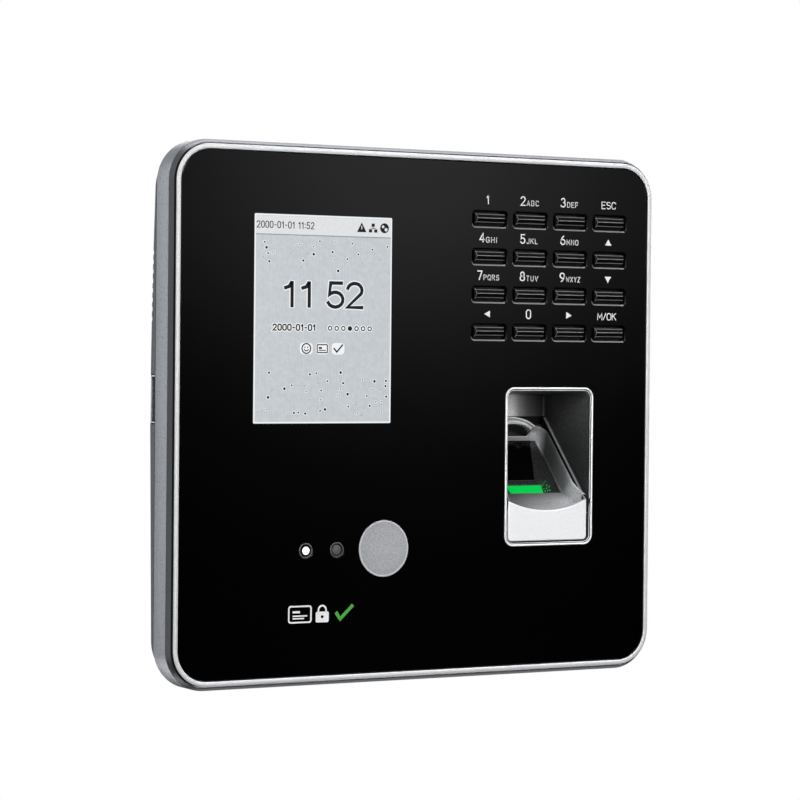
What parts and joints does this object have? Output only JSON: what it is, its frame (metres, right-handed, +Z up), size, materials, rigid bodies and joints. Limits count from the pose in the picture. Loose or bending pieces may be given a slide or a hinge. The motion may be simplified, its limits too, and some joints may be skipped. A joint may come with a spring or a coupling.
{
  "type": "fingerprint scanner terminal",
  "caption": "Wall-mounted fingerprint and keypad terminal: glossy black front with display, sloped finger platen, camera windows and keys, hung on a steel bracket.",
  "frame": {"origin": "on the wall plane (back face of the bracket), behind the middle of the front panel", "axes": "+X right seen from the front, +Z up, the front faces -Y and the wall is at +Y"},
  "size_m": [0.158, 0.0322, 0.1504],
  "materials": {
    "apron_silver": "pearl silver paint",
    "backlight_steel": "plain",
    "bezel_chrome": "satin plated",
    "board_green": "solder mask",
    "board_white": "white solder mask",
    "bracket_steel": "zinc plated, satin",
    "button_red": "moulded",
    "camera_black": "anodised look",
    "chip_black": "moulding compound",
    "cover_grey": "fine spark texture",
    "diffuser_grey": "frosted",
    "display_clear": "clear, bonded to the display",
    "gasket_rubber": "foam",
    "guide_silver": "metallic paint",
    "housing_silver": "fine metallic paint",
    "jack_black": "moulded",
    "key_black": "satin gloss",
    "lcd_glass": "polarised",
    "led_white": "lit",
    "lens_glass": "coated",
    "light_green": "lit light guide",
    "panel_black": "polished",
    "plunger_white": "natural",
    "prism_glass": "coated black",
    "relay_blue": "moulded",
    "screw_steel": "black zinc",
    "shield_steel": "tinned",
    "silicone_grey": "matt",
    "speaker_black": "moulded",
    "terminal_green": "moulded",
    "trim_bright": "brushed bright",
    "tub_satin": "satin",
    "window_grey": "satin"
  },
  "bodies": {
    "bracket": {"wall_bracket": "bracket_steel", "lock_screw": "screw_steel"},
    "terminal": {"front_housing": "housing_silver", "trim_ring": "trim_bright", "front_panel": "panel_black", "rear_cover": "cover_grey", "housing_screws": "screw_steel", "display_window": "display_clear", "lcd_panel": "lcd_glass", "lcd_backlight": "backlight_steel", "keypad_mat": "silicone_grey", "keypad_board": "board_green", "keypad_screws": "screw_steel", "fingerprint_bezel": "bezel_chrome", "fingerprint_tub": "tub_satin", "finger_guide": "guide_silver", "fingerprint_apron": "apron_silver", "platen_prism": "prism_glass", "sensor_light_bar": "light_green", "sensor_board": "board_green", "light_diffuser": "diffuser_grey", "light_board": "board_white", "window_bezels": "window_grey", "camera_module": "camera_black", "camera_lens": "lens_glass", "indicator_led": "led_white", "camera_board": "board_green", "main_board": "board_green", "board_screws": "screw_steel", "board_chips": "chip_black", "processor_shield": "shield_steel", "door_relay": "relay_blue", "usb_port": "shield_steel", "ethernet_jack": "jack_black", "terminal_blocks": "terminal_green", "tamper_switch": "chip_black", "reset_switch": "chip_black", "clock_cell": "shield_steel", "speaker": "speaker_black", "card_antenna": "board_green", "bay_gasket": "gasket_rubber"},
    "key_1_cap": {"key_1": "key_black"},
    "key_2_cap": {"key_2": "key_black"},
    "key_3_cap": {"key_3": "key_black"},
    "key_esc_cap": {"key_esc": "key_black"},
    "key_4_cap": {"key_4": "key_black"},
    "key_5_cap": {"key_5": "key_black"},
    "key_6_cap": {"key_6": "key_black"},
    "key_up_cap": {"key_up": "key_black"},
    "key_7_cap": {"key_7": "key_black"},
    "key_8_cap": {"key_8": "key_black"},
    "key_9_cap": {"key_9": "key_black"},
    "key_down_cap": {"key_down": "key_black"},
    "key_left_cap": {"key_left": "key_black"},
    "key_0_cap": {"key_0": "key_black"},
    "key_right_cap": {"key_right": "key_black"},
    "key_ok_cap": {"key_ok": "key_black"},
    "tamper": {"tamper_plunger": "plunger_white"},
    "reset": {"reset_button": "button_red"}
  },
  "joints": [
    {"name": "terminal_lift", "type": "slide", "parent": "bracket", "child": "terminal", "axis": [0, 0, 1], "range_m": [0, 0.006]},
    {"name": "key_1_press", "type": "slide", "parent": "terminal", "child": "key_1_cap", "axis": [0, 1, 0], "range_m": [0, 0.001], "stiffness_N_per_m": 1200},
    {"name": "key_2_press", "type": "slide", "parent": "terminal", "child": "key_2_cap", "axis": [0, 1, 0], "range_m": [0, 0.001], "stiffness_N_per_m": 1200},
    {"name": "key_3_press", "type": "slide", "parent": "terminal", "child": "key_3_cap", "axis": [0, 1, 0], "range_m": [0, 0.001], "stiffness_N_per_m": 1200},
    {"name": "key_esc_press", "type": "slide", "parent": "terminal", "child": "key_esc_cap", "axis": [0, 1, 0], "range_m": [0, 0.001], "stiffness_N_per_m": 1200},
    {"name": "key_4_press", "type": "slide", "parent": "terminal", "child": "key_4_cap", "axis": [0, 1, 0], "range_m": [0, 0.001], "stiffness_N_per_m": 1200},
    {"name": "key_5_press", "type": "slide", "parent": "terminal", "child": "key_5_cap", "axis": [0, 1, 0], "range_m": [0, 0.001], "stiffness_N_per_m": 1200},
    {"name": "key_6_press", "type": "slide", "parent": "terminal", "child": "key_6_cap", "axis": [0, 1, 0], "range_m": [0, 0.001], "stiffness_N_per_m": 1200},
    {"name": "key_up_press", "type": "slide", "parent": "terminal", "child": "key_up_cap", "axis": [0, 1, 0], "range_m": [0, 0.001], "stiffness_N_per_m": 1200},
    {"name": "key_7_press", "type": "slide", "parent": "terminal", "child": "key_7_cap", "axis": [0, 1, 0], "range_m": [0, 0.001], "stiffness_N_per_m": 1200},
    {"name": "key_8_press", "type": "slide", "parent": "terminal", "child": "key_8_cap", "axis": [0, 1, 0], "range_m": [0, 0.001], "stiffness_N_per_m": 1200},
    {"name": "key_9_press", "type": "slide", "parent": "terminal", "child": "key_9_cap", "axis": [0, 1, 0], "range_m": [0, 0.001], "stiffness_N_per_m": 1200},
    {"name": "key_down_press", "type": "slide", "parent": "terminal", "child": "key_down_cap", "axis": [0, 1, 0], "range_m": [0, 0.001], "stiffness_N_per_m": 1200},
    {"name": "key_left_press", "type": "slide", "parent": "terminal", "child": "key_left_cap", "axis": [0, 1, 0], "range_m": [0, 0.001], "stiffness_N_per_m": 1200},
    {"name": "key_0_press", "type": "slide", "parent": "terminal", "child": "key_0_cap", "axis": [0, 1, 0], "range_m": [0, 0.001], "stiffness_N_per_m": 1200},
    {"name": "key_right_press", "type": "slide", "parent": "terminal", "child": "key_right_cap", "axis": [0, 1, 0], "range_m": [0, 0.001], "stiffness_N_per_m": 1200},
    {"name": "key_ok_press", "type": "slide", "parent": "terminal", "child": "key_ok_cap", "axis": [0, 1, 0], "range_m": [0, 0.001], "stiffness_N_per_m": 1200},
    {"name": "tamper_press", "type": "slide", "parent": "terminal", "child": "tamper", "axis": [0, -1, 0], "range_m": [0, 0.0015], "stiffness_N_per_m": 300},
    {"name": "reset_press", "type": "slide", "parent": "terminal", "child": "reset", "axis": [0, -1, 0], "range_m": [0, 0.0004], "stiffness_N_per_m": 3000}
  ]
}
